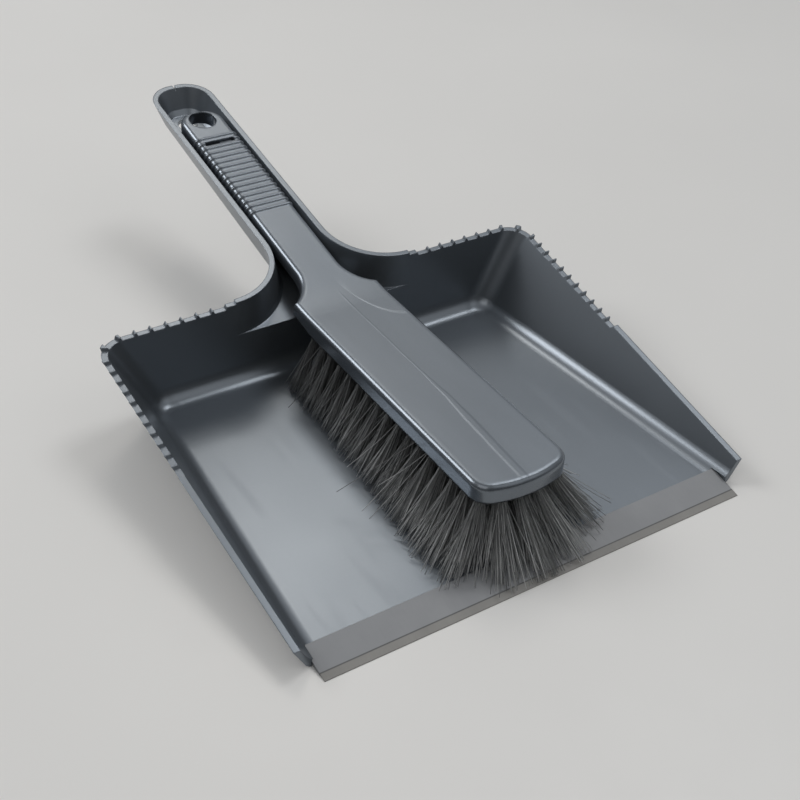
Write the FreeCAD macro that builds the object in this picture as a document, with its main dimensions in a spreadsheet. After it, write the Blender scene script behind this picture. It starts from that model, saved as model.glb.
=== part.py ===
import FreeCAD, Part
import math
import os

import Sketcher

# Dustpan with a rubber lip and a hand brush that nests in it, in millimetres.
# X runs across, Y from the lip to the handle end, Z up from the surface it stands on.

Vector = FreeCAD.Vector
doc = FreeCAD.newDocument("dustpan_and_brush")
sheet = doc.addObject("Spreadsheet::Sheet", "dims")

SIZES = [
    # Tray
    ("lip_front", 165.0, "lip's front edge, ahead of the origin"),
    ("wall_front", 156.5, "front end of the side walls, ahead of the origin"),
    ("rim_level", 40.1, "height of the rim's plane over the origin"),
    ("rim_slope", 0.187, "rise of the rim's plane towards the handle"),
    ("rim_half_front", 108.3, "half width over the rim at the walls' front ends"),
    ("rim_half_back", 112.1, "half width over the rim at the back wall"),
    ("rim_back", 9.7, "outside of the back wall at the rim"),
    ("side_flare", 0.55, "outward lean of the side walls"),
    ("back_flare", 0.05, "outward lean of the back wall"),
    ("floor_thick", 2.6, "tray floor"),
    ("side_wall", 2.7, "side wall, measured level"),
    ("back_wall", 2.3, "back wall, measured level"),
    ("corner_round", 12.5, "outer radius of the tray's back corners"),
    ("floor_round", 8.0, "inner radius between floor and walls"),
    ("foot_round", 4.0, "outer radius between floor and walls"),
    # Trough handle
    ("handle_end", 165.0, "end of the trough handle"),
    ("handle_half", 16.3, "half width over the trough's rim"),
    ("handle_lift", 1.1, "rim of the handle over the tray's rim"),
    ("handle_wall", 2.6, "wall and floor of the trough"),
    ("handle_round", 14.0, "corner radius at the handle's end"),
    ("handle_draft", 5.0, "how far the trough's outside narrows to its bevel"),
    ("channel_draft", 3.9, "how far its inside narrows to its bevel"),
    ("trough_bevel", 3.0, "bevel along the trough's underside"),
    ("channel_bevel", 2.2, "bevel along the trough's floor inside"),
    ("neck_round", 29.0, "radius from the back wall into the handle"),
    ("mouth_drop", 15.3, "trough floor under the rim at the back wall"),
    ("end_drop", 10.5, "trough floor under the rim at the handle's end"),
    ("pan_hole", 5.0, "radius of the hanging hole in the trough floor"),
    ("pan_hole_back", 149.0, "place of that hole along the handle"),
    ("notch_wide", 1.8, "notch in the rim at the handle's end"),
    ("notch_foot", 0.7, "width at the notch's foot"),
    ("notch_deep", 1.8, "depth of that notch"),
    # Comb along the rim
    ("comb_pitch", 6.0, "spacing of the scallops on the side walls"),
    ("comb_pitch_back", 6.85, "spacing of the scallops on the back wall"),
    ("comb_turn", 2, "scallops round a corner"),
    ("comb_deep", 1.4, "depth of the scallops"),
    ("comb_tooth", 0.4, "width of a tooth's edge between two scallops"),
    ("comb_ease", 0.8, "length of a scallop's sloping ends"),
    ("comb_side", 70.0, "front end of the comb on the side walls"),
    ("comb_back", 49.5, "inner end of the comb on the back wall"),
    # Rubber lip
    ("lip_half", 100.5, "half length of the lip"),
    ("lip_bevel", 3.4, "thin front strip of the lip, up to its crease"),
    ("lip_deep", 15.9, "lip from its front edge to the back of its upper leaf"),
    ("lip_lap", 2.9, "how far the upper leaf lies on the tray floor"),
    ("lip_proud", 0.8, "upper leaf's edge over the tray floor"),
    ("crease_high", 0.9, "lip's height at the crease"),
    ("edge_high", 0.25, "lip's height at its front edge"),
    ("tenon_low", 0.7, "underside of the tenon that holds the lip"),
    ("tenon_high", 1.9, "top of that tenon"),
    ("tenon_reach", 4.0, "length of that tenon"),
    ("lip_gap", 0.3, "gap between the lip's ends and the walls"),
    # Brush moulding
    ("bend_front", 5.5, "where the brush bends from block to handle, ahead of the origin"),
    ("bend_level", 40.0, "height of the top there"),
    ("block_slope", 0.0112, "rise of the block's top towards the handle"),
    ("grip_slope", 0.2, "rise of the handle's top"),
    ("bend_run", 9.6, "half length of the curve at the bend"),
    ("block_front", 147.0, "front of the block, ahead of the origin"),
    ("block_half", 21.9, "half width of the block"),
    ("front_round", 52.0, "radius of the block's front edge"),
    ("block_round", 8.5, "radius of the block's front corners"),
    ("block_deep", 8.0, "height of the block"),
    ("grip_half", 11.2, "half width of the brush handle"),
    ("grip_end", 139.5, "end of the brush handle"),
    ("grip_round", 9.0, "corner radius at the handle's end"),
    ("grip_gap", 0.4, "gap between the handle's lower edges and the trough's walls"),
    ("neck_start", 17.0, "where the handle widens into the block"),
    ("shoulder_round", 21.5, "radius from the handle to the shoulders"),
    ("edge_round", 2.6, "radius along the top edges"),
    ("skin", 2.2, "wall of the hollow handle"),
    ("hollow_front", 16.0, "front end of the hollow"),
    ("hollow_back", 119.0, "back end of the hollow"),
    ("hang_hole", 6.8, "radius of the hanging hole"),
    ("hang_back", 130.9, "place of that hole along the handle"),
    ("ridge_count", 16, "grip ridges"),
    ("ridge_first", 116.3, "ridge nearest the hanging hole"),
    ("ridge_pitch", 3.91, "spacing of the ridges along the handle"),
    ("ridge_high", 0.75, "height of a ridge over the handle"),
    ("ridge_crest", 0.9, "width of a ridge's back"),
    ("ridge_foot", 2.8, "width of a ridge's foot"),
    ("ridge_sunk", 0.6, "depth of that foot in the handle's skin"),
    ("ridge_drop", 4.0, "how far the ridges reach down the handle's sides"),
    ("slot_long", 15.8, "length of the slot for the pan's tab"),
    ("slot_wide", 2.9, "width of that slot"),
    ("tab_long", 6.0, "length of the tab in the trough"),
    ("tab_side", 3.6, "middle of the tab beside the centre line"),
    ("tab_gap", 0.6, "gap each side of the tab in the slot"),
    ("tab_sunk", 1.0, "top of the tab under the handle's top"),
    # Tufts
    ("row_count", 5, "rows of tufts"),
    ("row_pitch", 8.0, "spacing of the rows"),
    ("tuft_count", 17, "tufts in a row"),
    ("tuft_pitch", 7.75, "spacing of the tufts in a row"),
    ("tuft_first", 14.0, "tuft nearest the handle, ahead of the origin"),
    ("tuft_hole", 2.2, "radius of a tuft's hole"),
    ("tuft_deep", 6.0, "depth of the hole along its axis"),
    ("tuft_fit", 0.15, "gap round a tuft in its hole"),
    ("tuft_tip", 3.4, "radius of a tuft at its tip"),
    ("tip_gap", 0.4, "tips over the tray floor, and over the lip"),
    ("side_splay", 18.0, "outward spread of the outer rows' tips at the front"),
    ("front_splay", 23.0, "forward spread of the middle row's front tips"),
    ("back_share", 0.6, "share of the outward spread that the back tufts have"),
    ("corner_back", 0.65, "share of the forward spread that the outer rows lose"),
    ("corner_in", 0.35, "share of the outward spread that the front tufts lose"),
    ("splay_start", 0.55, "share of the row after which tufts lean forward"),
    ("splay_growth", 1.5, "power at which the forward lean grows"),
    ("anchor_thick", 0.4, "strip that anchors a tuft in its hole"),
    ("anchor_high", 1.8, "height of that strip"),
    ("anchor_gap", 0.05, "gap between strip and tuft"),
    ("anchor_fit", 0.005, "gap at each end of the strip in its hole"),
]
SPARE = 10.0


class Size:
    """A length that carries both its number and the sheet formula behind it."""

    def __init__(self, number, text):
        self.number = number
        self.text = text

    def __add__(self, other):
        return join(self, "+", other, self.number + plain(other))

    def __radd__(self, other):
        return join(other, "+", self, plain(other) + self.number)

    def __sub__(self, other):
        return join(self, "-", other, self.number - plain(other))

    def __rsub__(self, other):
        return join(other, "-", self, plain(other) - self.number)

    def __mul__(self, other):
        return join(self, "*", other, self.number * plain(other))

    def __rmul__(self, other):
        return join(other, "*", self, plain(other) * self.number)

    def __truediv__(self, other):
        return join(self, "/", other, self.number / plain(other))

    def __neg__(self):
        return Size(-self.number, f"(0 - {self.text})")


def plain(value):
    return value.number if isinstance(value, Size) else float(value)


def written(value):
    return value.text if isinstance(value, Size) else repr(float(value))


def join(left, sign, right, number):
    return Size(number, f"({written(left)} {sign} {written(right)})")


def root(value):
    return Size(math.sqrt(value.number), f"sqrt({value.text})")


D = {}
for line, (name, number, note) in enumerate(SIZES, start=1):
    sheet.set(f"A{line}", note)
    sheet.set(f"B{line}", str(number))
    sheet.setAlias(f"B{line}", name)
    D[name] = Size(float(number), f"dims.{name}")
doc.recompute()


def value(name):
    return D[name].number


def bind(thing, path, value):
    """Ties one property of a feature to a sheet formula."""
    thing.setExpression(path, written(value))


# Sketches

def sketch_on(body, name, plane, height=0.0, slope=None):
    """Sketch on an origin plane of the body, lifted along its normal and tilted about X."""
    sketch = body.newObject("Sketcher::SketchObject", name)
    origin = [f for f in body.Origin.OriginFeatures if f.Role == plane]
    sketch.AttachmentSupport = [(origin[0], "")]
    sketch.MapMode = "FlatFace"
    tilt = 0.0 if slope is None else math.degrees(math.atan(slope.number))
    turn = FreeCAD.Rotation(Vector(1, 0, 0), tilt)
    sketch.AttachmentOffset = FreeCAD.Placement(Vector(0, 0, plain(height)), turn)
    bind(sketch, "AttachmentOffset.Base.z", height)
    if slope is not None:
        sketch.setExpression("AttachmentOffset.Rotation.Angle", f"atan({slope.text})")
    return sketch


def hold(sketch, kind, item, end, value):
    """Keeps one end of an item at a signed distance from the sketch's origin."""
    number = plain(value)
    if abs(number) < 1e-9:
        axis = -2 if kind == "DistanceX" else -1
        sketch.addConstraint(Sketcher.Constraint("PointOnObject", item, end, axis))
        return
    if number > 0:
        index = sketch.addConstraint(Sketcher.Constraint(kind, -1, 1, item, end, number))
        bind(sketch, f"Constraints[{index}]", value)
    else:
        index = sketch.addConstraint(Sketcher.Constraint(kind, item, end, -1, 1, -number))
        bind(sketch, f"Constraints[{index}]", -value)


def outline(sketch, corners, closed=True):
    """Outline or open path. A corner is (x, y), or (x, y, radius, turn) where an arc leaves it."""
    spots = [Vector(plain(c[0]), plain(c[1]), 0) for c in corners]
    ends = []
    for i, corner in enumerate(corners if closed else corners[:-1]):
        start, stop = spots[i], spots[(i + 1) % len(spots)]
        if len(corner) == 2:
            item = sketch.addGeometry(Part.LineSegment(start, stop))
            ends.append((item, 1, 2))
            continue
        radius, turn = plain(corner[2]), corner[3]
        half = (stop - start) * 0.5
        left = Vector(-half.y, half.x, 0).normalize()
        rise = math.sqrt(max(radius ** 2 - half.Length ** 2, 0.0))
        centre = start + half + left * rise * turn
        middle = centre - left * radius * turn
        if turn > 0:
            item = sketch.addGeometry(Part.ArcOfCircle(start, middle, stop))
            ends.append((item, 1, 2))
        else:
            item = sketch.addGeometry(Part.ArcOfCircle(stop, middle, start))
            ends.append((item, 2, 1))
    following = ends[1:] + ends[:1] if closed else ends[1:]
    for (item, _, last), (after, begin, _) in zip(ends, following):
        sketch.addConstraint(Sketcher.Constraint("Coincident", item, last, after, begin))
    if not closed:
        hold(sketch, "DistanceX", ends[-1][0], ends[-1][2], corners[-1][0])
        hold(sketch, "DistanceY", ends[-1][0], ends[-1][2], corners[-1][1])
    for (item, first, _), corner in zip(ends, corners):
        hold(sketch, "DistanceX", item, first, corner[0])
        hold(sketch, "DistanceY", item, first, corner[1])
        if len(corner) > 2:
            index = sketch.addConstraint(Sketcher.Constraint("Radius", item, plain(corner[2])))
            bind(sketch, f"Constraints[{index}]", corner[2])
    return sketch


def circle(sketch, x, y, radius):
    item = sketch.addGeometry(Part.Circle(Vector(plain(x), plain(y), 0), Vector(0, 0, 1), plain(radius)))
    hold(sketch, "DistanceX", item, 3, x)
    hold(sketch, "DistanceY", item, 3, y)
    index = sketch.addConstraint(Sketcher.Constraint("Radius", item, plain(radius)))
    bind(sketch, f"Constraints[{index}]", radius)
    return sketch


def box_outline(sketch, x_low, x_high, y_low, y_high):
    return outline(sketch, [(x_low, y_low), (x_high, y_low), (x_high, y_high), (x_low, y_high)])


# Features

def loft(body, kind, name, sections):
    feature = body.newObject(f"PartDesign::{kind}Loft", name)
    feature.Profile = (sections[0], [""])
    feature.Sections = [(s, [""]) for s in sections[1:]]
    feature.Ruled = True
    doc.recompute()
    return feature


def prism(body, kind, name, sketch, length, side_type="Symmetric"):
    """Pad or pocket of a sketch, by default half the length to each side of its plane."""
    feature = body.newObject(f"PartDesign::{kind}", name)
    feature.Profile = (sketch, [""])
    feature.SideType = side_type
    feature.Length = plain(length)
    bind(feature, "Length", length)
    doc.recompute()
    return feature


def cut_through(body, name, sketch, length):
    return prism(body, "Pocket", name, sketch, length)


def round_edges(body, name, base, radius, chosen):
    """Rounds the edges of the base feature that the test picks."""
    doc.recompute()
    names = [f"Edge{i}" for i, edge in enumerate(base.Shape.Edges, start=1) if chosen(edge)]
    feature = body.newObject("PartDesign::Fillet", name)
    feature.Base = (base, names)
    feature.Radius = plain(radius)
    bind(feature, "Radius", radius)
    doc.recompute()
    return feature


def shrinks(before, after):
    if after.Shape.Volume >= before.Shape.Volume:
        raise RuntimeError(f"{after.Name} removes nothing")
    return after


# Shared geometry of the tray

rim_run = root(1 + D["rim_slope"] * D["rim_slope"])
back_rim_level = D["rim_level"] + D["rim_slope"] * D["rim_back"]
wall_length = D["rim_back"] + D["wall_front"]
rim_spread = (D["rim_half_back"] - D["rim_half_front"]) / wall_length


def rim_at(y):
    return D["rim_level"] + D["rim_slope"] * y


def rim_half(y):
    return D["rim_half_front"] + rim_spread * (y + D["wall_front"])


def back_of(z):
    """Outside of the back wall at a height."""
    return D["rim_back"] - D["back_flare"] * (back_rim_level - z)


def lean(body, name, base, flare, chosen):
    """Leans the chosen walls outwards about the line where they meet the rim's plane."""
    faces = list(enumerate(base.Shape.Faces, start=1))
    walls = [f"Face{i}" for i, face in faces if chosen(face.normalAt(0, 0))]
    top = [f"Face{i}" for i, face in faces if face.normalAt(0, 0).z > 0.5]
    feature = body.newObject("PartDesign::Draft", name)
    feature.Base = (base, walls)
    feature.NeutralPlane = (base, top)
    feature.PullDirection = ([f for f in body.Origin.OriginFeatures if f.Role == "Z_Axis"][0], [""])
    feature.Reversed = True
    feature.Angle = math.degrees(math.atan(flare.number))
    feature.setExpression("Angle", f"atan({flare.text})")
    doc.recompute()
    return shrinks(base, feature)


def tray_block(body, name, front, side_inset, back_inset, level):
    """Wedge of the tray between a level and the rim's plane, with leaning planar walls."""
    back = D["rim_back"] - back_inset
    half_front = rim_half(front) - side_inset
    half_back = rim_half(back) - side_inset
    plan = sketch_on(body, f"{name}_plan", "XY_Plane", level)
    outline(plan, [(half_front, front), (half_back, back), (-half_back, back), (-half_front, front)])
    slab = prism(body, "Pad", f"{name}_slab", plan, 2 * D["rim_level"], "One side")
    over = sketch_on(body, f"{name}_over", "YZ_Plane")
    outline(over, [(front - SPARE, rim_at(front - SPARE)), (back + SPARE, rim_at(back + SPARE)),
                   (back + SPARE, 3 * D["rim_level"]), (front - SPARE, 3 * D["rim_level"])])
    wedge = shrinks(slab, cut_through(body, f"{name}_wedge", over, 4 * D["rim_half_back"]))
    wedge = lean(body, f"{name}_sides", wedge, D["side_flare"], lambda normal: abs(normal.x) > 0.9)
    return lean(body, f"{name}_back", wedge, D["back_flare"], lambda normal: normal.y > 0.9)


def upright_corner(edge):
    """Edges that climb from floor to rim at the tray's back corners."""
    box = edge.BoundBox
    return box.ZLength > 20 and box.YMin > 0 and box.XLength > 5


def edge_at(level, front):
    """Test for the level edges round a floor, all but the front one."""
    def chosen(edge):
        box = edge.BoundBox
        flat = abs(box.ZMin - level) < 0.01 and abs(box.ZMax - level) < 0.01
        return flat and box.YMax > front + 1
    return chosen


# The trough handle, open upwards, runs back from the tray's rim
trough_slope = D["rim_slope"] + (D["mouth_drop"] - D["end_drop"]) / (D["handle_end"] - D["rim_back"])
trough_run = root(1 + trough_slope * trough_slope)
trough_level = back_rim_level - D["mouth_drop"] - trough_slope * D["rim_back"]
keel_level = trough_level - D["handle_wall"]
handle_rim = D["rim_level"] + D["handle_lift"]


def trough_outline(sketch, run, back, inset, close):
    """Plan of the trough handle with its flared neck, drawn inside its outer rim line."""
    half = D["handle_half"] - inset
    flare = D["neck_round"] + inset
    bend = D["handle_round"] - inset
    reach = half + flare
    foot_line = back * run
    end = (D["handle_end"] - inset) * run
    return outline(sketch, [
        (reach, close),
        (reach, foot_line, flare, -1),
        (half, foot_line + flare),
        (half, end - bend, bend, 1),
        (half - bend, end),
        (bend - half, end, bend, 1),
        (-half, end - bend),
        (-half, foot_line + flare, flare, -1),
        (-reach, foot_line),
        (-reach, close),
    ])


def trough_block(body, name, wall, draft, bevel, level, back_inset, close):
    """Trough handle from its rim down to its bevelled underside."""
    high = sketch_on(body, f"{name}_rim", "XY_Plane", handle_rim, D["rim_slope"])
    trough_outline(high, rim_run, D["rim_back"] - back_inset, wall, close)
    waist = sketch_on(body, f"{name}_waist", "XY_Plane", level + bevel, trough_slope)
    waist_back = back_of(level + bevel + trough_slope * D["rim_back"]) - back_inset
    trough_outline(waist, trough_run, waist_back, wall + draft, close)
    low = sketch_on(body, f"{name}_keel", "XY_Plane", level, trough_slope)
    low_back = back_of(level + trough_slope * D["rim_back"]) - back_inset
    trough_outline(low, trough_run, low_back, wall + draft + bevel, close)
    return loft(body, "Additive", name, [high, waist, low])


# Dustpan: outside of the tray and its handle

front = -D["wall_front"]
shell = doc.addObject("PartDesign::Body", "pan_outside")
tray = tray_block(shell, "tray", front, 0.0, 0.0, 0.0)
tray = round_edges(shell, "tray_corners", tray, D["corner_round"], upright_corner)
tray = round_edges(shell, "tray_foot", tray, D["foot_round"], edge_at(0.0, plain(front)))
trough_block(shell, "trough", 0.0, D["handle_draft"], D["trough_bevel"], keel_level, 0.0, 0.0)

# Everything that is open in the dustpan, taken out in one cut
core = doc.addObject("PartDesign::Body", "pan_inside")
beyond = front - 2 * SPARE
room = tray_block(core, "room", beyond, D["side_wall"], D["back_wall"], D["floor_thick"])
room = round_edges(core, "room_corners", room, D["corner_round"] - D["back_wall"], upright_corner)
on_floor = edge_at(plain(D["floor_thick"]), plain(beyond))
room = round_edges(core, "room_floor", room, D["floor_round"], on_floor)
trough_block(core, "channel", D["handle_wall"], D["channel_draft"], D["channel_bevel"], trough_level,
             D["back_wall"], -D["neck_round"])

# Room for the lip, with a tenon left on the floor's front edge
seat = sketch_on(core, "lip_seat_section", "YZ_Plane")
lip_back = D["lip_deep"] - D["lip_front"]
lip_root = lip_back - D["lip_lap"]
tenon_front = lip_root - D["tenon_reach"]
tenon = [
    (lip_root, D["tenon_low"]),
    (tenon_front, D["tenon_low"]),
    (tenon_front, D["tenon_high"]),
    (lip_root, D["tenon_high"]),
    (lip_root, D["floor_thick"]),
    (lip_back, D["floor_thick"]),
]
lip_top = D["floor_thick"] + D["lip_proud"]
outline(seat, [(-D["lip_front"], -SPARE), (lip_root, -SPARE)] + tenon + [
    (lip_back, lip_top + D["lip_gap"]),
    (-D["lip_front"], lip_top + D["lip_gap"]),
])
prism(core, "Pad", "lip_seat", seat, 2 * (D["lip_half"] + D["lip_gap"]))

# Hanging hole and the notch in the rim at the handle's end
hole = sketch_on(core, "pan_hole_plan", "XY_Plane", trough_level, trough_slope)
circle(hole, 0.0, D["pan_hole_back"] * trough_run, D["pan_hole"])
prism(core, "Pad", "pan_hole", hole, 4 * D["handle_wall"])
end_rim = handle_rim + D["rim_slope"] * D["handle_end"]
notch = sketch_on(core, "notch_section", "XZ_Plane", -D["handle_end"])
outline(notch, [
    (D["notch_foot"] / 2, end_rim - D["notch_deep"]),
    (D["notch_wide"] / 2, end_rim + D["handle_wall"]),
    (D["notch_wide"] / -2, end_rim + D["handle_wall"]),
    (D["notch_foot"] / -2, end_rim - D["notch_deep"]),
])
prism(core, "Pad", "notch", notch, 3 * D["handle_wall"])

# Tab that stands in the slot of the brush handle
grip_run = root(1 + D["grip_slope"] * D["grip_slope"])


def grip_top(y):
    return D["bend_level"] + D["grip_slope"] * (y + D["bend_front"])


slot_back = D["ridge_first"] - D["ridge_pitch"] / grip_run
tab_foot = trough_level + trough_slope * slot_back - D["handle_wall"] / 2
tab_half = D["slot_wide"] / 2 - D["tab_gap"]
tab_body = doc.addObject("PartDesign::Body", "pan_tab")
tab_plan = sketch_on(tab_body, "tab_plan", "XY_Plane", tab_foot)
box_outline(tab_plan, D["tab_side"] - D["tab_long"] / 2, D["tab_side"] + D["tab_long"] / 2,
            slot_back - tab_half, slot_back + tab_half)
prism(tab_body, "Pad", "tab", tab_plan, grip_top(slot_back) - D["tab_sunk"] - tab_foot, "One side")

# Comb: flat scallops between narrow teeth, along the side rim, round the corner and along the back rim
corner_radius = value("corner_round")
side_run = value("rim_back") - corner_radius + value("comb_side")
turn_run = corner_radius * math.pi / 2
back_run = value("rim_half_back") - corner_radius - value("comb_back")
comb_runs = [
    (0.0, side_run, round(side_run / value("comb_pitch"))),
    (side_run, turn_run, int(value("comb_turn"))),
    (side_run + turn_run, back_run, round(back_run / value("comb_pitch_back"))),
]


def rim_spot(along):
    """Point of the right rim line, the outward direction and the scallops' share of their width there."""
    pivot = Vector(value("rim_half_back") - corner_radius, value("rim_back") - corner_radius, 0)
    if along < side_run:
        y = along - value("comb_side")
        return Vector(plain(rim_half(y)), y, 0), Vector(1, 0, 0), 1.0
    if along < side_run + turn_run:
        angle = (along - side_run) / corner_radius
        outward = Vector(math.cos(angle), math.sin(angle), 0)
        return pivot + outward * corner_radius, outward, 1.0 - value("side_wall") / corner_radius
    return Vector(pivot.x - (along - side_run - turn_run), value("rim_back"), 0), Vector(0, 1, 0), 1.0


def flat_face(corners):
    return Part.Face(Part.makePolygon(corners + corners[:1]))


def scallop_section(half, deep):
    """Half outline of a scallop: straight above the rim, sloping to its flat bottom."""
    return [(half, deep), (half, 0.0), (half - value("comb_ease"), -deep)]


scallops = []
scallop_length = 4 * value("side_wall")
rim_up = Vector(0, -value("rim_slope"), 1).normalize()
for begin, run, count in comb_runs:
    for i in range(count):
        spot, outward, share = rim_spot(begin + (i + 0.5) * run / count)
        spot.z = plain(rim_at(spot.y))
        right_half = scallop_section(share * (run / count - value("comb_tooth")) / 2, value("comb_deep"))
        section = right_half + [(-across, rise) for across, rise in reversed(right_half)]
        for side in (1, -1):
            axis = Vector(outward.x * side, outward.y, outward.y * value("rim_slope")).normalize()
            beside = rim_up.cross(axis)
            start = Vector(spot.x * side, spot.y, spot.z) - axis * (scallop_length - value("side_wall"))
            corners = [start + beside * across + rim_up * rise for across, rise in section]
            scallops.append(flat_face(corners).extrude(axis * scallop_length))
comb = doc.addObject("Part::Feature", "comb_scallops")
comb.Shape = Part.makeCompound(scallops)

hollowed = doc.addObject("Part::Cut", "pan_hollowed")
hollowed.Base = shell
hollowed.Tool = core
tabbed = doc.addObject("Part::Fuse", "pan_with_tab")
tabbed.Base = hollowed
tabbed.Tool = tab_body
dustpan = doc.addObject("Part::Cut", "dustpan")
dustpan.Base = tabbed
dustpan.Tool = comb
doc.recompute()
shrinks(tabbed, dustpan)

# Rubber lip, grooved for the tenon

lip = doc.addObject("PartDesign::Body", "rubber_lip")
section = sketch_on(lip, "lip_section", "YZ_Plane")
outline(section, [(-D["lip_front"], 0.0), (lip_root, 0.0)] + tenon + [
    (lip_back, lip_top),
    (D["lip_bevel"] - D["lip_front"], D["crease_high"]),
    (-D["lip_front"], D["edge_high"]),
])
prism(lip, "Pad", "lip_strip", section, 2 * D["lip_half"])

# Brush moulding: block, neck and handle in one

brush = doc.addObject("PartDesign::Body", "brush_moulding")
front_centre = D["front_round"] - D["block_front"]
span = D["front_round"] - D["block_round"]
inset = D["block_half"] - D["block_round"]
drop = root(span * span - inset * inset)
join_x = inset * D["front_round"] / span
join_y = front_centre - drop * D["front_round"] / span
corner_y = front_centre - drop
widen = D["block_half"] - D["grip_half"]
fall = root(D["shoulder_round"] * D["shoulder_round"]
            - (D["shoulder_round"] - widen) * (D["shoulder_round"] - widen))
shoulder_y = D["neck_start"] - fall

plan = sketch_on(brush, "brush_plan", "XY_Plane")
outline(plan, [
    (-join_x, join_y, D["front_round"], 1),
    (join_x, join_y, D["block_round"], 1),
    (D["block_half"], corner_y),
    (D["block_half"], shoulder_y, D["shoulder_round"], -1),
    (D["grip_half"], D["neck_start"]),
    (D["grip_half"], D["grip_end"] - D["grip_round"], D["grip_round"], 1),
    (D["grip_half"] - D["grip_round"], D["grip_end"]),
    (D["grip_round"] - D["grip_half"], D["grip_end"], D["grip_round"], 1),
    (-D["grip_half"], D["grip_end"] - D["grip_round"]),
    (-D["grip_half"], D["neck_start"], D["shoulder_round"], -1),
    (-D["block_half"], shoulder_y),
    (-D["block_half"], corner_y, D["block_round"], 1),
])
tall = D["bend_level"] * 2
slab = prism(brush, "Pad", "brush_slab", plan, tall, "One side")

# Side view of the brush: block and handle meet in a gentle curve
block_run = root(1 + D["block_slope"] * D["block_slope"])
curve_front = -D["bend_front"] - D["bend_run"] / block_run
curve_back = D["bend_run"] / grip_run - D["bend_front"]
bend_turn = math.atan(plain(D["grip_slope"])) - math.atan(plain(D["block_slope"]))
curve_radius = Size(plain(D["bend_run"]) / math.tan(bend_turn / 2),
                    "(dims.bend_run / tan((atan(dims.grip_slope) - atan(dims.block_slope)) / 2))")


def block_top(y):
    return D["bend_level"] + D["block_slope"] * (y + D["bend_front"])


ahead = -D["block_front"] - SPARE
behind = D["grip_end"] + SPARE
over = sketch_on(brush, "brush_over", "YZ_Plane")
outline(over, [
    (ahead, block_top(ahead)),
    (curve_front, block_top(curve_front), curve_radius, 1),
    (curve_back, grip_top(curve_back)),
    (behind, grip_top(behind)),
    (behind, tall + SPARE),
    (ahead, tall + SPARE),
])
topped = shrinks(slab, cut_through(brush, "brush_over_cut", over, 4 * D["block_half"]))

rim_there = handle_rim + D["rim_slope"] * D["grip_end"]
channel_deep = rim_there - trough_level - trough_slope * D["grip_end"] - D["channel_bevel"]
grip_room = D["handle_half"] - D["handle_wall"] - D["grip_half"] - D["grip_gap"]
grip_under = rim_there - grip_room * channel_deep / D["channel_draft"]
grip_deep = grip_top(D["grip_end"]) - grip_under
neck_under = block_top(curve_front) - D["block_deep"]
under_slope = (grip_under - neck_under) / (D["grip_end"] - curve_front)
under = sketch_on(brush, "brush_under", "YZ_Plane")
outline(under, [
    (ahead, -SPARE),
    (behind, -SPARE),
    (behind, grip_under + under_slope * SPARE),
    (curve_front, neck_under),
    (ahead, block_top(ahead) - D["block_deep"]),
])
shaped = shrinks(topped, cut_through(brush, "brush_under_cut", under, 4 * D["block_half"]))


def bounds_top(shape):
    """Test for the edges between the top of a shape and its upright sides."""
    def upward(face, spot):
        u, v = face.Surface.parameter(spot)
        return face.normalAt(u, v).z

    def chosen(edge):
        first, last = edge.ParameterRange
        spot = edge.valueAt((first + last) / 2)
        lifts = sorted(upward(face, spot) for face in shape.ancestorsOfType(edge, Part.Face))
        return len(lifts) == 2 and abs(lifts[0]) < 0.1 and lifts[1] > 0.8
    return chosen


rounded = round_edges(brush, "brush_top_round", shaped, D["edge_round"], bounds_top(shaped.Shape))

# The handle is a shell, open below from the neck to the hanging hole
bore_half = D["grip_half"] - D["skin"]


def hollow_section(name, y):
    sketch = sketch_on(brush, name, "XZ_Plane", -y)
    roof = grip_top(y) - D["skin"] * grip_run
    return box_outline(sketch, -bore_half, bore_half, roof - grip_deep * 2, roof)


shrinks(rounded, loft(brush, "Subtractive", "grip_hollow", [
    hollow_section("hollow_front_plan", D["hollow_front"]),
    hollow_section("hollow_back_plan", D["hollow_back"]),
]))

# Grip ridges wrap over the handle's rounded edges
ridge_half = D["grip_half"] - D["ridge_sunk"]
ridge_bend = D["edge_round"] - D["ridge_sunk"]
path = sketch_on(brush, "ridge_path", "XZ_Plane", -D["ridge_first"], D["grip_slope"])
bind(path, "AttachmentOffset.Base.y", grip_top(D["ridge_first"]))
outline(path, [
    (-ridge_half, -D["ridge_drop"]),
    (-ridge_half, -D["edge_round"], ridge_bend, -1),
    (ridge_bend - ridge_half, -D["ridge_sunk"]),
    (ridge_half - ridge_bend, -D["ridge_sunk"], ridge_bend, -1),
    (ridge_half, -D["edge_round"]),
    (ridge_half, -D["ridge_drop"]),
], closed=False)
profile = sketch_on(brush, "ridge_profile", "XY_Plane",
                    grip_top(D["ridge_first"]) - D["ridge_drop"] / grip_run, D["grip_slope"])
bind(profile, "AttachmentOffset.Base.y", D["ridge_first"] + D["ridge_drop"] * D["grip_slope"] / grip_run)
crest_x = -(D["grip_half"] + D["ridge_high"])
outline(profile, [
    (-ridge_half, D["ridge_foot"] / -2),
    (-ridge_half, D["ridge_foot"] / 2),
    (crest_x, D["ridge_crest"] / 2),
    (crest_x, D["ridge_crest"] / -2),
])
doc.recompute()
ridge = brush.newObject("PartDesign::AdditivePipe", "ridge")
ridge.Profile = (profile, [""])
ridge.Spine = (path, [""])
doc.recompute()
ridges = brush.newObject("PartDesign::LinearPattern", "ridges")
ridges.Originals = [ridge]
ridges.Direction = (path, ["N_Axis"])
ridges.Length = plain(D["ridge_pitch"] * (D["ridge_count"] - 1))
bind(ridges, "Length", D["ridge_pitch"] * (D["ridge_count"] - 1))
ridges.Occurrences = int(plain(D["ridge_count"]))
bind(ridges, "Occurrences", D["ridge_count"])
brush.Tip = ridges
doc.recompute()

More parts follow.
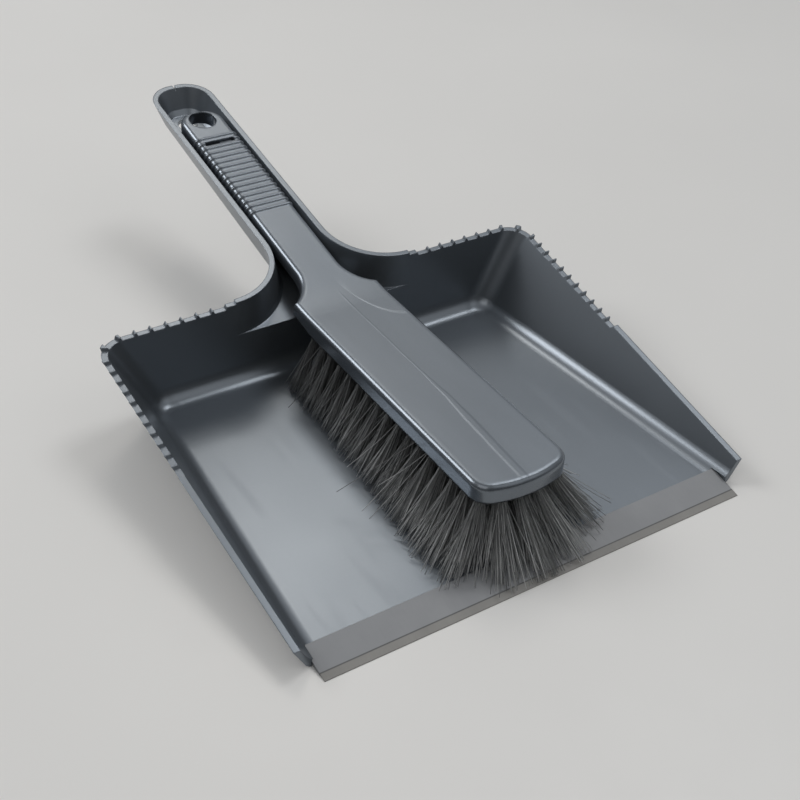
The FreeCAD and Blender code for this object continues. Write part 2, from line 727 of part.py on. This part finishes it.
# Slot for the pan's tab, on the second ridge, and the hanging hole
slot = sketch_on(brush, "slot_plan", "XY_Plane", grip_top(slot_back))
box_outline(slot, D["slot_long"] / -2, D["slot_long"] / 2,
            slot_back - D["slot_wide"] / 2, slot_back + D["slot_wide"] / 2)
slotted = shrinks(ridges, cut_through(brush, "slot_cut", slot, 4 * D["skin"]))
hang = sketch_on(brush, "hang_plan", "XY_Plane", grip_top(0.0), D["grip_slope"])
circle(hang, 0.0, D["hang_back"] * grip_run, D["hang_hole"])
hung = shrinks(slotted, cut_through(brush, "hang_cut", hang, 4 * grip_deep))
brush.Tip = hung
doc.recompute()

# Tufts: each leans with its hole, more towards the sides and the front


def tip_level(y):
    """Height of the cut tips: over the floor, or over the lip where they reach it."""
    on_lip = y - 2 * value("tuft_tip") < plain(lip_back)
    return value("floor_thick") + value("tip_gap") + (value("lip_proud") if on_lip else 0.0)


tufts = []
for row in range(int(value("row_count"))):
    across = row - (value("row_count") - 1) / 2
    outer = across / max((value("row_count") - 1) / 2, 0.5)
    line = []
    for place in range(int(value("tuft_count"))):
        ahead_share = place / max(value("tuft_count") - 1, 1)
        y = -(value("tuft_first") + place * value("tuft_pitch"))
        under_level = plain(block_top(y)) - value("block_deep")
        mouth_spot = Vector(across * value("row_pitch"), y, under_level)
        widening = value("back_share") + (1 - value("back_share")) * ahead_share
        leaning = max((ahead_share - value("splay_start")) / (1 - value("splay_start")), 0.0)
        leaning = leaning ** value("splay_growth")
        side = value("side_splay") * outer * widening * (1 - value("corner_in") * leaning ** 2)
        forward = value("front_splay") * leaning * (1 - value("corner_back") * outer ** 2)
        tip_spot = Vector(mouth_spot.x + side, y - forward, tip_level(y - forward))
        line.append((mouth_spot, (tip_spot - mouth_spot).normalize(), (tip_spot - mouth_spot).Length))
    tufts.append(line)


# Bundles and their holes are drawn six-sided, to keep the faces of the 85 tufts few
TUFT_SIDES = 6


def tuft_ring(centre, axis, radius):
    """Corners of a regular outline square to a tuft's axis."""
    along = (Vector(1, 0, 0) - axis * axis.x).normalize()
    beside = axis.cross(along)
    turns = [2 * math.pi * i / TUFT_SIDES for i in range(TUFT_SIDES)]
    return [centre + along * radius * math.cos(a) + beside * radius * math.sin(a) for a in turns]


def faceted_solid(rings):
    """Solid with flat sides between rings that lie in parallel planes."""
    faces = [flat_face(rings[0]), flat_face(rings[-1])]
    for low, high in zip(rings, rings[1:]):
        for i in range(TUFT_SIDES):
            faces.append(flat_face([low[i - 1], low[i], high[i], high[i - 1]]))
    solid = Part.makeSolid(Part.makeShell(faces))
    if solid.Volume < 0:
        solid.reverse()
    return solid


def strip_box(mouth_spot, axis, thick, long, top, low):
    """Flat strip across a hole, between two depths above the block's underside."""
    along = (Vector(1, 0, 0) - axis * axis.x).normalize()
    beside = axis.cross(along)
    first = mouth_spot - axis * top - along * (thick / 2) - beside * (long / 2)
    second = first + along * thick
    face = flat_face([first, second, second + beside * long, first + beside * long])
    return face.extrude(axis * (top - low))


def tuft_solid(mouth_spot, axis, length):
    """Bundle from its fold in the hole to its flat-cut tip."""
    stem = value("tuft_hole") - value("tuft_fit")
    widening = (value("tuft_tip") - stem) / length
    over_cut = value("tuft_tip") * 1.5
    stop = length + over_cut
    fold = value("tuft_fit") - value("tuft_deep")
    bundle = faceted_solid([
        tuft_ring(mouth_spot + axis * fold, axis, stem + widening * fold),
        tuft_ring(mouth_spot + axis * stop, axis, stem + widening * stop),
    ])
    gap = value("anchor_gap")
    groove = strip_box(mouth_spot, axis, value("anchor_thick") + 2 * gap, 4 * value("tuft_hole"),
                       value("tuft_deep") + SPARE, value("tuft_deep") - value("anchor_high") - gap)
    spread = 6 * over_cut
    tip = mouth_spot + axis * length
    below = Part.makeBox(2 * spread, 2 * spread, 2 * spread, tip - Vector(spread, spread, 2 * spread))
    return bundle.cut([groove, below]).Solids[0]


bores = []
strips = []
strip_span = 2 * (value("tuft_hole") * math.cos(math.pi / TUFT_SIDES) - value("anchor_fit"))
for line in tufts:
    for mouth_spot, axis, length in line:
        bores.append(faceted_solid([
            tuft_ring(mouth_spot - axis * value("tuft_deep"), axis, value("tuft_hole")),
            tuft_ring(mouth_spot + axis * value("tuft_hole"), axis, value("tuft_hole")),
        ]))
        strips.append(strip_box(mouth_spot, axis, value("anchor_thick"), strip_span,
                                value("tuft_deep"), value("tuft_deep") - value("anchor_high")))
tuft_bores = doc.addObject("Part::Feature", "tuft_bores")
tuft_bores.Shape = Part.makeCompound(bores)
brush_body = doc.addObject("Part::Cut", "brush_body")
brush_body.Base = brush
brush_body.Tool = tuft_bores
doc.recompute()
shrinks(brush, brush_body)

nodes = [dustpan, lip, brush_body]
ROWS = {5: ["left_outer", "left_inner", "middle", "right_inner", "right_outer"]}
names = ROWS.get(len(tufts), [f"row_{i + 1}" for i in range(len(tufts))])
for name, line in zip(names, tufts):
    row = doc.addObject("Part::Feature", f"tufts_{name}")
    row.Shape = Part.makeCompound([tuft_solid(*tuft) for tuft in line])
    nodes.append(row)
anchors = doc.addObject("Part::Feature", "tuft_anchors")
anchors.Shape = Part.makeCompound(strips)
nodes.append(anchors)
for node in nodes:
    node.Label = node.Name
    node.Placement = FreeCAD.Placement()
doc.recompute()

# Checks before anything is written
for thing in doc.Objects:
    if "Invalid" in thing.State or "Error" in thing.State:
        raise RuntimeError(f"{thing.Name} failed: {thing.State}")
for node in nodes:
    if node.Shape.isNull() or not node.Shape.isValid():
        raise RuntimeError(f"{node.Label} has no valid shape")
os.makedirs("parts", exist_ok=True)
for node in nodes:
    node.Shape.exportStep(f"parts/{node.Label}.step")
    box = node.Shape.BoundBox
    print(f"{node.Label}: {len(node.Shape.Solids)} solids, {len(node.Shape.Faces)} faces,",
          f"{box.XLength:.1f} x {box.YLength:.1f} x {box.ZLength:.1f}")
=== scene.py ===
import math
import random

import bpy
from mathutils import Matrix, Vector


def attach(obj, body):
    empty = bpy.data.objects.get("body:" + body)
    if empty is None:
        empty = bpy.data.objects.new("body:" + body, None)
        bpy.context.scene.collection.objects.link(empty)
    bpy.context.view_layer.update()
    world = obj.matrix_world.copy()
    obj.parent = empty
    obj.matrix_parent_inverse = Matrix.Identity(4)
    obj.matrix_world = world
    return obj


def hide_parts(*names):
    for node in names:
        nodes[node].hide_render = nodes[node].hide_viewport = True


# Dustpan and brush set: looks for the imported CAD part, in metres

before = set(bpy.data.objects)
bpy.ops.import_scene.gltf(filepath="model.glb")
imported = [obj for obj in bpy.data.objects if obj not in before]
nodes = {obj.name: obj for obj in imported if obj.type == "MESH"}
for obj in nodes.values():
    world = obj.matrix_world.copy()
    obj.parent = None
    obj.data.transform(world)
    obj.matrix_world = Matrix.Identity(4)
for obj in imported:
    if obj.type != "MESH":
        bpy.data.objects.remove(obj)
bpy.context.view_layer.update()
MM = 0.001


class Shader:
    """A node material with short ways to add what it is made of."""

    def __init__(self, name, **constants):
        self.material = bpy.data.materials.new(name)
        self.material.use_nodes = True
        self.tree = self.material.node_tree
        self.surface = self.tree.nodes["Principled BSDF"]
        for socket, value in constants.items():
            self.surface.inputs[socket.replace("_", " ")].default_value = value
        self.place = self.add("TexCoord").outputs["Object"]

    def add(self, kind, **settings):
        node = self.tree.nodes.new("ShaderNode" + kind)
        for key, value in settings.items():
            setattr(node, key, value)
        return node

    def feed(self, socket, value):
        if isinstance(value, bpy.types.NodeSocket):
            self.tree.links.new(value, socket)
        else:
            socket.default_value = value

    def math(self, operation, first, second=0.0, third=0.0):
        node = self.add("Math", operation=operation)
        for socket, value in zip(node.inputs, (first, second, third)):
            self.feed(socket, value)
        return node.outputs[0]

    def parts(self, vector):
        node = self.add("SeparateXYZ")
        self.feed(node.inputs[0], vector)
        return node.outputs

    def stretched(self, scale, turn=0.0):
        """Place on the part, scaled along each axis and then turned about Z."""
        node = self.add("Mapping")
        self.feed(node.inputs["Vector"], self.place)
        node.inputs["Scale"].default_value = scale
        node.inputs["Rotation"].default_value = (0.0, 0.0, turn)
        return node.outputs[0]

    def noise(self, scale, detail, rough, vector=None):
        node = self.add("TexNoise")
        self.feed(node.inputs["Vector"], vector or self.place)
        node.inputs["Scale"].default_value = scale
        node.inputs["Detail"].default_value = detail
        node.inputs["Roughness"].default_value = rough
        return node.outputs["Fac"]

    def spread(self, value, low, high, to_low=0.0, to_high=1.0, **settings):
        """The range from low to high, mapped to another one and held at its ends."""
        node = self.add("MapRange", **settings)
        for socket, number in zip(node.inputs, (value, low, high, to_low, to_high)):
            self.feed(socket, number)
        return node.outputs[0]

    def fade(self, value, none, full):
        """0 at none and 1 at full, with soft ends."""
        return self.spread(value, none, full, interpolation_type="SMOOTHSTEP")

    def tint(self, factor, *stops):
        """Colour ramp through stops, each a place and a colour, in order."""
        node = self.add("ValToRGB")
        self.feed(node.inputs[0], factor)
        ramp = node.color_ramp
        ends = [ramp.elements[0], ramp.elements[1]]
        for end, (place, colour) in zip(ends, (stops[0], stops[-1])):
            end.position, end.color = place, (*colour, 1.0)
        for place, colour in stops[1:-1]:
            ramp.elements.new(place).color = (*colour, 1.0)
        return node.outputs[0]

    def blend(self, factor, first, second):
        node = self.add("Mix", data_type="RGBA")
        sockets = [node.inputs[0], node.inputs[6], node.inputs[7]]
        for socket, value in zip(sockets, (factor, first, second)):
            self.feed(socket, value)
        return node.outputs[2]

    def bump(self, height, strength, distance, below):
        node = self.add("Bump")
        self.feed(node.inputs["Height"], height)
        self.feed(node.inputs["Normal"], below)
        node.inputs["Strength"].default_value = strength
        node.inputs["Distance"].default_value = distance
        return node.outputs[0]

    def softened(self, radius, samples=4):
        node = self.add("Bevel", samples=samples)
        self.feed(node.inputs["Radius"], radius)
        return node.outputs[0]

    def finish(self, **sockets):
        for socket, value in sockets.items():
            self.feed(self.surface.inputs[socket.replace("_", " ")], value)
        return self.material


# Moulded plastic with fine aluminium pigment, for pan and brush

PLASTIC = {"Metallic": 0.78, "IOR": 1.49}
FLAKE_SHARE = 0.08


def pigment(shader, flow):
    """Tone of the plastic: how it flowed in the mould, with a little of single flakes."""
    flake = shader.noise(900.0, 1.0, 0.5)
    return shader.math("MULTIPLY_ADD", flake, FLAKE_SHARE, shader.math("MULTIPLY", flow, 1.0 - FLAKE_SHARE))


def grain(shader, below):
    """Fine texture that the mould leaves."""
    return shader.bump(shader.noise(600.0, 2.0, 0.6), 0.01, 0.0002, below)


# Scuffs are whole on the tray floor and gone where it has turned up into the walls
SCUFF_WHOLE = 0.0027
SCUFF_GONE = 0.0045


def scuffs(shader, turn, across, along, thin):
    """Faint straight marks that run along the tray."""
    lines = shader.noise(1.0, 1.0, 0.4, shader.stretched((across, along, 1.0), turn))
    return shader.spread(lines, 0.5 + thin, 0.5 + 2.2 * thin)


def pan_plastic():
    shader = Shader("pan_plastic", **PLASTIC)
    flow = shader.noise(9.0, 2.0, 0.45, shader.stretched((1.0, 0.35, 1.0)))
    colour = shader.tint(pigment(shader, flow), (0.25, (0.192, 0.214, 0.240)), (0.75, (0.236, 0.262, 0.291)))
    marks = shader.math("MAXIMUM", scuffs(shader, 0.5, 130.0, 14.0, 0.10),
                        scuffs(shader, -0.9, 170.0, 20.0, 0.11))
    on_floor = shader.spread(shader.parts(shader.place)[2], SCUFF_GONE, SCUFF_WHOLE)
    worn = shader.spread(shader.noise(22.0, 2.0, 0.45), 0.2, 0.8, 0.282, 0.33)
    rough = shader.math("MULTIPLY_ADD", shader.math("MULTIPLY", marks, on_floor), 0.03, worn)
    fine = grain(shader, shader.softened(0.0006))
    ripple = shader.bump(shader.noise(30.0, 2.0, 0.5), 0.04, 0.0006, fine)
    return shader.finish(Base_Color=colour, Roughness=rough, Normal=ripple)


# Places along the brush, from its bend towards the front, and sizes of the marks on its block
WELD_BACK = 0.0
WELD_CLEAR = -0.009
WELD_WIDENS = -0.070
WELD_TURNS = -0.090
WELD_WIDE = -0.105
WELD_FRONT = -0.146
WELD_SIDE = 0.0004
WELD_SIDE_FRONT = -0.0025
WELD_HALF = 0.0005
WELD_HALF_FRONT = 0.0019
MARK_SIDE = 0.0043
MARK_TURN = 0.006
MARK_LONG = 0.0293
MARK_FRONT = -0.033
MARK_HALF = 0.0016
# The grip with its ridges begins behind the neck
GRIP_FRONT = 0.044
GRIP_WHOLE = 0.056


def weld_line(shader, x, y):
    """Height of the ridge where the plastic met. It turns aside near the front, and shows two flanks."""
    middle = shader.spread(y, WELD_TURNS, WELD_FRONT, WELD_SIDE, WELD_SIDE_FRONT)
    wander = shader.math("MULTIPLY_ADD", shader.noise(60.0, 2.0, 0.5), 0.0006, -0.0003)
    beside = shader.math("ADD", shader.math("SUBTRACT", x, middle), wander)
    half = shader.spread(y, WELD_WIDENS, WELD_WIDE, WELD_HALF, WELD_HALF_FRONT)
    share = shader.math("DIVIDE", shader.math("ABSOLUTE", beside), half)
    height = shader.math("MULTIPLY", shader.fade(share, 1.2, 0.4), half)
    on_block = shader.math("MULTIPLY", shader.fade(y, WELD_FRONT - 0.002, WELD_FRONT + 0.002),
                           shader.fade(y, WELD_BACK, WELD_CLEAR))
    return shader.math("MULTIPLY", height, on_block)


def flow_mark(shader, x, y):
    """Height of the faint step that curves from the neck to the right edge."""
    away = shader.math("DIVIDE", shader.math("SUBTRACT", MARK_SIDE, x), MARK_TURN)
    edge = shader.math("MULTIPLY_ADD", shader.math("EXPONENT", away), MARK_LONG, MARK_FRONT)
    step = shader.fade(shader.math("SUBTRACT", y, edge), -MARK_HALF, MARK_HALF)
    ahead_of_neck = shader.fade(y, 0.010, -0.006)
    on_right = shader.fade(x, 0.002, 0.006)
    return shader.math("MULTIPLY", shader.math("MULTIPLY", step, ahead_of_neck), on_right)


def brush_plastic():
    shader = Shader("brush_plastic", **PLASTIC)
    x, y, _ = shader.parts(shader.place)
    flow = shader.noise(14.0, 4.0, 0.55, shader.stretched((1.6, 0.3, 1.0)))
    colour = shader.tint(pigment(shader, flow), (0.34, (0.168, 0.188, 0.212)), (0.66, (0.203, 0.227, 0.255)))
    # The flat faces are matt, and the tilted edges are polished
    facing_up = shader.parts(shader.add("NewGeometry").outputs["Normal"])[2]
    matt = shader.spread(facing_up, 0.90, 0.97, 0.20, 0.33)
    rough = shader.math("MULTIPLY_ADD", shader.noise(60.0, 4.0, 0.6), 0.04, matt)
    # Edges and ridges run into their faces softly
    ease = shader.spread(y, GRIP_FRONT, GRIP_WHOLE, 0.0014, 0.0011)
    fine = grain(shader, shader.softened(ease, samples=8))
    seam = shader.bump(weld_line(shader, x, y), 1.0, 0.06, fine)
    normal = shader.bump(flow_mark(shader, x, y), 1.0, 0.00012, seam)
    return shader.finish(Base_Color=colour, Roughness=rough, Normal=normal)


# Crease between the lip's leaf and its front strip, along the pan
LIP_CREASE = -0.1615


def lip_rubber():
    shader = Shader("lip_rubber", IOR=1.5)
    y = shader.parts(shader.place)[1]
    mottle = shader.noise(60.0, 4.0, 0.55)
    leaf = shader.tint(mottle, (0.3, (0.245, 0.253, 0.266)), (0.7, (0.270, 0.278, 0.291)))
    strip = shader.tint(mottle, (0.3, (0.225, 0.220, 0.208)), (0.7, (0.255, 0.250, 0.236)))
    colour = shader.blend(shader.spread(y, LIP_CREASE, LIP_CREASE - 0.0002), leaf, strip)
    # Painted shade: a thin dark line along the crease
    beside = shader.math("ABSOLUTE", shader.math("SUBTRACT", y, LIP_CREASE))
    crease_shade = shader.spread(beside, 0.0001, 0.0004, 0.8, 0.0)
    colour = shader.blend(crease_shade, colour, (0.03, 0.03, 0.032, 1.0))
    streak = shader.noise(1.0, 3.0, 0.6, shader.stretched((900.0, 20.0, 20.0)))
    rough = shader.spread(streak, 0.3, 0.7, 0.44, 0.56)
    normal = shader.bump(shader.noise(1800.0, 2.0, 0.6), 0.12, 0.00015, shader.softened(0.0003))
    return shader.finish(Base_Color=colour, Roughness=rough, Normal=normal)


def bristle_plastic():
    shader = Shader("bristle_plastic", IOR=1.5, Roughness=0.42)
    # The shaded tone from the mesh is each filament's own tone with painted shade and painted light on it
    shaded_tone = shader.math("MULTIPLY", shader.add("Attribute", attribute_name="shaded_tone").outputs["Fac"], 0.8)
    mixed = shader.math("MULTIPLY_ADD", shader.noise(900.0, 2.0, 0.5), 0.25, shaded_tone)
    colour = shader.tint(mixed, (0.0, (0.045, 0.046, 0.047)), (0.5, (0.25, 0.257, 0.260)),
                         (1.0, (0.70, 0.71, 0.71)))
    return shader.finish(Base_Color=colour)


def anchor_steel():
    shader = Shader("anchor_steel", Metallic=1.0)
    brushed = shader.noise(1.0, 3.0, 0.6, shader.stretched((400.0, 6000.0, 400.0)))
    colour = shader.tint(brushed, (0.3, (0.42, 0.42, 0.43)), (0.7, (0.58, 0.58, 0.59)))
    rough = shader.spread(brushed, 0.3, 0.7, 0.25, 0.4)
    return shader.finish(Base_Color=colour, Roughness=rough)


BRISTLE = bristle_plastic()
FINISHES = {
    "dustpan": pan_plastic(),
    "brush_body": brush_plastic(),
    "rubber_lip": lip_rubber(),
    "tuft_anchors": anchor_steel(),
}
for name, material in FINISHES.items():
    nodes[name].data.materials.clear()
    nodes[name].data.materials.append(material)

# Bristles: every tuft is a bundle of filaments that fan out from its hole to the tray floor

# Block, tray and tufts as the solids have them, in millimetres and in shares
ROWS = ["left_outer", "left_inner", "middle", "right_inner", "right_outer"]
ROW_PITCH = 8.0
TUFT_COUNT = 17
TUFT_PITCH = 7.75
TUFT_FIRST = 14.0
TIP_GAP = 0.4
SIDE_SPLAY = 18.0
FRONT_SPLAY = 23.0
BACK_SHARE = 0.6
CORNER_BACK = 0.65
CORNER_IN = 0.35
SPLAY_START = 0.55
SPLAY_GROWTH = 1.5
BEND_FRONT = 5.5
BEND_LEVEL = 40.0
BLOCK_SLOPE = 0.0112
BLOCK_DEEP = 8.0
FLOOR_TOP = 2.6
LIP_TOP = 3.4
LIP_BACK = -149.1
LIP_SLOPE = 0.2
# Tips this near to the lip are cut at its height
LIP_NEAR = 3.0

# One filament and its bundle, in millimetres. Values for the front hold where tufts lean most
FILAMENTS = 110
FILAMENT_RADIUS = 0.15
FILAMENT_TAPER = 0.1
FILAMENT_GAP = 0.45
STEPS = 7
SIDES = 3
LARGEST_TWIST = 2.1
TWIST_GUIDE = Vector((0.0, 1.0, 0.3))
BUNDLE_RADIUS = 1.75
ROOT_DEEP = 2.5
FAN = 2.3
FAN_FRONT = 2.6
FAN_CHANCE = 0.22
FRONT_WIDENING = 0.3
FRONT_LIMIT = -164.6
LOOSE = 0.9
STRAY_LOOSE = 6.0
STRAY_SHARE = 0.035
STRAY_SHORTER = (2.0, 9.0)
UNEVEN = 1.3
UNEVEN_FRONT = 0.7
BOW = 0.45
SWELL = -0.05
WAVE = 0.08
WAVE_TURN = 9.0

# Tones: each filament has its own tone at random, with painted shade and painted light on top: darker at its
# root and on the back tufts under the block, paler towards its tip and towards the front of the brush
TONE = 0.46
TONE_CHANCE = 0.22
TONE_LEAST = 0.05
ROOT_SHADE = 0.45
TIP_PAINTED_LIGHT = 0.9
BACK_SHADE = 0.5
FRONT_PAINTED_LIGHT = 0.6

chance = random.Random(7)


def under_block(y):
    return BEND_LEVEL + BLOCK_SLOPE * (y + BEND_FRONT) - BLOCK_DEEP


def ground(y):
    """Height of what lies under the tips."""
    if y > LIP_BACK + LIP_NEAR:
        return FLOOR_TOP
    return LIP_TOP - max(LIP_BACK - y, 0.0) * LIP_SLOPE


def tuft_line(row, place):
    """Mouth and tip of one tuft, and how far it leans to the front."""
    across = row - (len(ROWS) - 1) / 2
    outer = across / ((len(ROWS) - 1) / 2)
    ahead = place / (TUFT_COUNT - 1)
    y = -(TUFT_FIRST + place * TUFT_PITCH)
    leaning = max((ahead - SPLAY_START) / (1.0 - SPLAY_START), 0.0) ** SPLAY_GROWTH
    widening = BACK_SHARE + (1.0 - BACK_SHARE) * ahead
    side = SIDE_SPLAY * outer * widening * (1.0 - CORNER_IN * leaning ** 2)
    forward = FRONT_SPLAY * leaning * (1.0 - CORNER_BACK * outer ** 2)
    mouth = Vector((across * ROW_PITCH, y, under_block(y)))
    tip = Vector((mouth.x + side, y - forward, ground(y - forward) + TIP_GAP))
    return mouth, tip, leaning


def disc(radius):
    """Chance spot in a disc."""
    angle = chance.uniform(0.0, 2 * math.pi)
    reach = radius * math.sqrt(chance.random())
    return reach * math.cos(angle), reach * math.sin(angle)


def filament_path(mouth, tip, leaning, along, beside, axis):
    """Points of one filament, from inside its hole to its cut end."""
    a, b = disc(BUNDLE_RADIUS)
    start = mouth + along * a + beside * b - axis * ROOT_DEEP
    fan = chance.gauss(1.0, FAN_CHANCE) * (FAN + FAN_FRONT * leaning)
    stray = chance.random() < STRAY_SHARE
    loose = STRAY_LOOSE if stray else LOOSE
    end_x = a * fan + chance.gauss(0.0, loose)
    end_y = b * fan + chance.gauss(0.0, loose)
    end = tip + Vector((end_x, end_y, 0.0))
    end.x += FRONT_WIDENING * leaning * mouth.x
    end.y = max(end.y, FRONT_LIMIT)
    shorter = abs(chance.gauss(0.0, UNEVEN + (UNEVEN_FRONT - UNEVEN) * leaning))
    if stray:
        shorter += chance.uniform(*STRAY_SHORTER)
    end.z = ground(end.y) + FILAMENT_GAP + shorter
    bow = Vector((chance.gauss(0.0, BOW), chance.gauss(0.0, BOW), 0.0))
    swell = Vector((end.x - mouth.x, end.y - mouth.y, 0.0)) * SWELL
    phase = chance.uniform(0.0, 6.28)
    points = []
    for i in range(STEPS):
        t = i / (STEPS - 1)
        spot = start.lerp(end, t) + (bow + swell) * math.sin(math.pi * t)
        spot += along * WAVE * math.sin(phase + WAVE_TURN * t) * t
        points.append(spot)
    return points


def add_tube(points, shaded_tone, corners, faces, shaded_tones):
    """Thin tapering tube with closed ends."""
    first = len(corners)
    twist = chance.uniform(0.0, LARGEST_TWIST)
    for i, spot in enumerate(points):
        t = i / (STEPS - 1)
        ahead = points[min(i + 1, STEPS - 1)] - points[max(i - 1, 0)]
        along = ahead.cross(TWIST_GUIDE).normalized()
        beside = ahead.normalized().cross(along)
        radius = FILAMENT_RADIUS * (1.0 - FILAMENT_TAPER * t)
        for k in range(SIDES):
            angle = twist + 2 * math.pi * k / SIDES
            offset = along * radius * math.cos(angle) + beside * radius * math.sin(angle)
            corners.append((spot + offset) * MM)
            # Painted shade at the root, painted light towards the tip
            shaded_tones.append(shaded_tone * (ROOT_SHADE + TIP_PAINTED_LIGHT * t))
    for i in range(STEPS - 1):
        low = first + SIDES * i
        high = low + SIDES
        for k in range(SIDES):
            after = (k + 1) % SIDES
            faces.append((low + k, low + after, high + after, high + k))
    last = first + SIDES * (STEPS - 1)
    faces.append(tuple(range(last, last + SIDES)))
    faces.append(tuple(reversed(range(first, first + SIDES))))


def bristle_mesh(row, name):
    """All filaments of one row."""
    corners, faces, shaded_tones = [], [], []
    for place in range(TUFT_COUNT):
        mouth, tip, leaning = tuft_line(row, place)
        axis = (tip - mouth).normalized()
        along = (Vector((1, 0, 0)) - axis * axis.x).normalized()
        beside = axis.cross(along)
        # Painted shade on the back tufts under the block, painted light on the front ones
        painted_front_light = BACK_SHADE + FRONT_PAINTED_LIGHT * place / (TUFT_COUNT - 1)
        for _ in range(FILAMENTS):
            shaded_tone = min(max(chance.gauss(TONE, TONE_CHANCE), TONE_LEAST), 1.0) * painted_front_light
            path = filament_path(mouth, tip, leaning, along, beside, axis)
            add_tube(path, shaded_tone, corners, faces, shaded_tones)
    mesh = bpy.data.meshes.new(name)
    mesh.from_pydata(corners, [], faces)
    mesh.attributes.new("shaded_tone", "FLOAT", "POINT").data.foreach_set("value", shaded_tones)
    mesh.shade_smooth()
    mesh.materials.append(BRISTLE)
    return mesh


for row, row_name in enumerate(ROWS):
    bristles = bpy.data.objects.new(f"bristles_{row_name}", bristle_mesh(row, f"bristles_{row_name}"))
    bpy.context.scene.collection.objects.link(bristles)
    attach(bristles, "brush")
    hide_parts(f"tufts_{row_name}")

# Floor

FLOOR_HALF = 4


def floor_paint():
    shader = Shader("floor", IOR=1.45)
    cloud = shader.noise(3.0, 3.0, 0.5)
    colour = shader.tint(cloud, (0.35, (0.745, 0.737, 0.72)), (0.65, (0.77, 0.762, 0.745)))
    rough = shader.spread(shader.noise(40.0, 3.0, 0.5), 0.3, 0.7, 0.36, 0.42)
    return shader.finish(Base_Color=colour, Roughness=rough)


floor_mesh = bpy.data.meshes.new("floor")
floor_corners = [(FLOOR_HALF * x, FLOOR_HALF * y, 0) for x, y in ((-1, -1), (1, -1), (1, 1), (-1, 1))]
floor_mesh.from_pydata(floor_corners, [], [(0, 1, 2, 3)])
floor_mesh.materials.append(floor_paint())
floor = bpy.data.objects.new("floor", floor_mesh)
bpy.context.scene.collection.objects.link(floor)

# Light


def lamp(name, azimuth, elevation, distance, size, power, colour=(1.0, 1.0, 1.0)):
    """Soft panel that faces the object. Azimuth runs from +Y towards +X."""
    light = bpy.data.lights.new(name, "AREA")
    light.shape = "RECTANGLE"
    light.size, light.size_y = size
    light.energy, light.color = power, colour
    panel = bpy.data.objects.new(name, light)
    turn, lift = math.radians(azimuth), math.radians(elevation)
    level = math.cos(lift)
    outward = Vector((math.sin(turn) * level, math.cos(turn) * level, math.sin(lift)))
    panel.location = outward * distance
    panel.rotation_euler = outward.to_track_quat("Z", "Y").to_euler()
    bpy.context.scene.collection.objects.link(panel)


lamp("window", 26.0, 50.0, distance=1.5, size=(0.42, 0.42), power=1.75, colour=(1.0, 0.95, 0.88))
lamp("left_window", -42.0, 40.0, distance=1.5, size=(0.80, 0.55), power=6.5)
lamp("ceiling", 76.0, 60.0, distance=1.6, size=(0.52, 0.52), power=4.2)
lamp("front", 150.0, 45.0, distance=1.4, size=(0.90, 0.90), power=1.0)
lamp("fill", -125.0, 50.0, distance=1.2, size=(0.80, 0.80), power=1.6, colour=(1.0, 0.975, 0.95))

# The room is brighter behind the object than on the camera's side
BRIGHT_SIDE = (0.42, 0.58, 0.70)
ROOM_COLOUR = (0.95, 0.975, 1.0, 1.0)
ROOM_DIM, ROOM_BRIGHT = 0.10, 0.46


def studio_room():
    world = bpy.data.worlds.new("studio")
    world.use_nodes = True
    tree = world.node_tree
    backing = tree.nodes["Background"]
    backing.inputs["Color"].default_value = ROOM_COLOUR
    way = tree.nodes.new("ShaderNodeTexCoord")
    toward = tree.nodes.new("ShaderNodeVectorMath")
    toward.operation = "DOT_PRODUCT"
    toward.inputs[1].default_value = BRIGHT_SIDE
    tree.links.new(way.outputs["Generated"], toward.inputs[0])
    glow = tree.nodes.new("ShaderNodeMapRange")
    for socket, number in zip(glow.inputs[1:5], (-0.2, 0.95, ROOM_DIM, ROOM_BRIGHT)):
        socket.default_value = number
    tree.links.new(toward.outputs["Value"], glow.inputs[0])
    tree.links.new(glow.outputs[0], backing.inputs["Strength"])
    return world


bpy.context.scene.world = studio_room()

# Camera at the photo's angle: degrees, and millimetres from the part's origin

CAMERA_TURN = -35.267
CAMERA_LIFT = 37.025
CAMERA_ROLL = 3.888
CAMERA_PLACE = (-261.20, -426.20, 356.62)
SENSOR_WIDTH = 36.0
LENS = 58.95


def photo_camera():
    data = bpy.data.cameras.new("camera")
    data.sensor_width = SENSOR_WIDTH
    data.lens = LENS
    data.clip_start = 0.01
    turn, lift, roll = (math.radians(angle) for angle in (CAMERA_TURN, CAMERA_LIFT, CAMERA_ROLL))
    right = Vector((math.cos(turn), math.sin(turn), 0.0))
    back = Vector((math.sin(turn) * math.cos(lift), -math.cos(turn) * math.cos(lift), math.sin(lift)))
    up = back.cross(right)
    across = right * math.cos(roll) + up * math.sin(roll)
    upright = up * math.cos(roll) - right * math.sin(roll)
    pose = Matrix((across, upright, back)).transposed().to_4x4()
    pose.translation = Vector(CAMERA_PLACE) * MM
    camera = bpy.data.objects.new("camera", data)
    camera.matrix_world = pose
    return camera


camera = photo_camera()
bpy.context.scene.collection.objects.link(camera)
bpy.context.scene.camera = camera
bpy.context.scene.view_settings.view_transform = "Standard"
